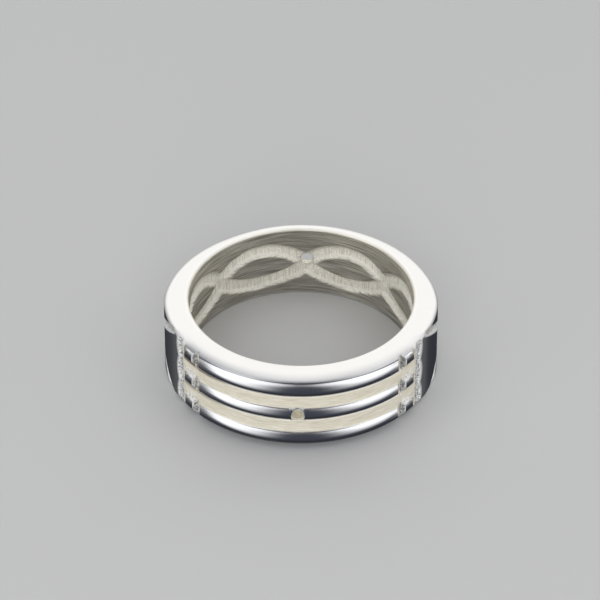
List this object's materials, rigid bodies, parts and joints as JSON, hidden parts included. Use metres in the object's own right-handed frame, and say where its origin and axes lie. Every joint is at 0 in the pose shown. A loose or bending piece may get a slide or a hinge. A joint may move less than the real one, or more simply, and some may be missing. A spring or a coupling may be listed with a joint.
{
  "type": "geometric band ring",
  "caption": "Wide cast band ring with raised half-round bars across the front, notched stubs, scalloped side panels and crossing channels inside.",
  "frame": {"origin": "centre of the finger hole, halfway up the band", "axes": "+Z along the finger hole, up as the ring lies on its side; the barred front faces -Y; +X is to the right seen from the front"},
  "size_m": [0.0232, 0.0225, 0.0068],
  "materials": {
    "silver": "polished cast silver, matte in the grooves and channels, stippled on the cut ends"
  },
  "bodies": {
    "root": {"ring_band": "silver"}
  },
  "joints": []
}
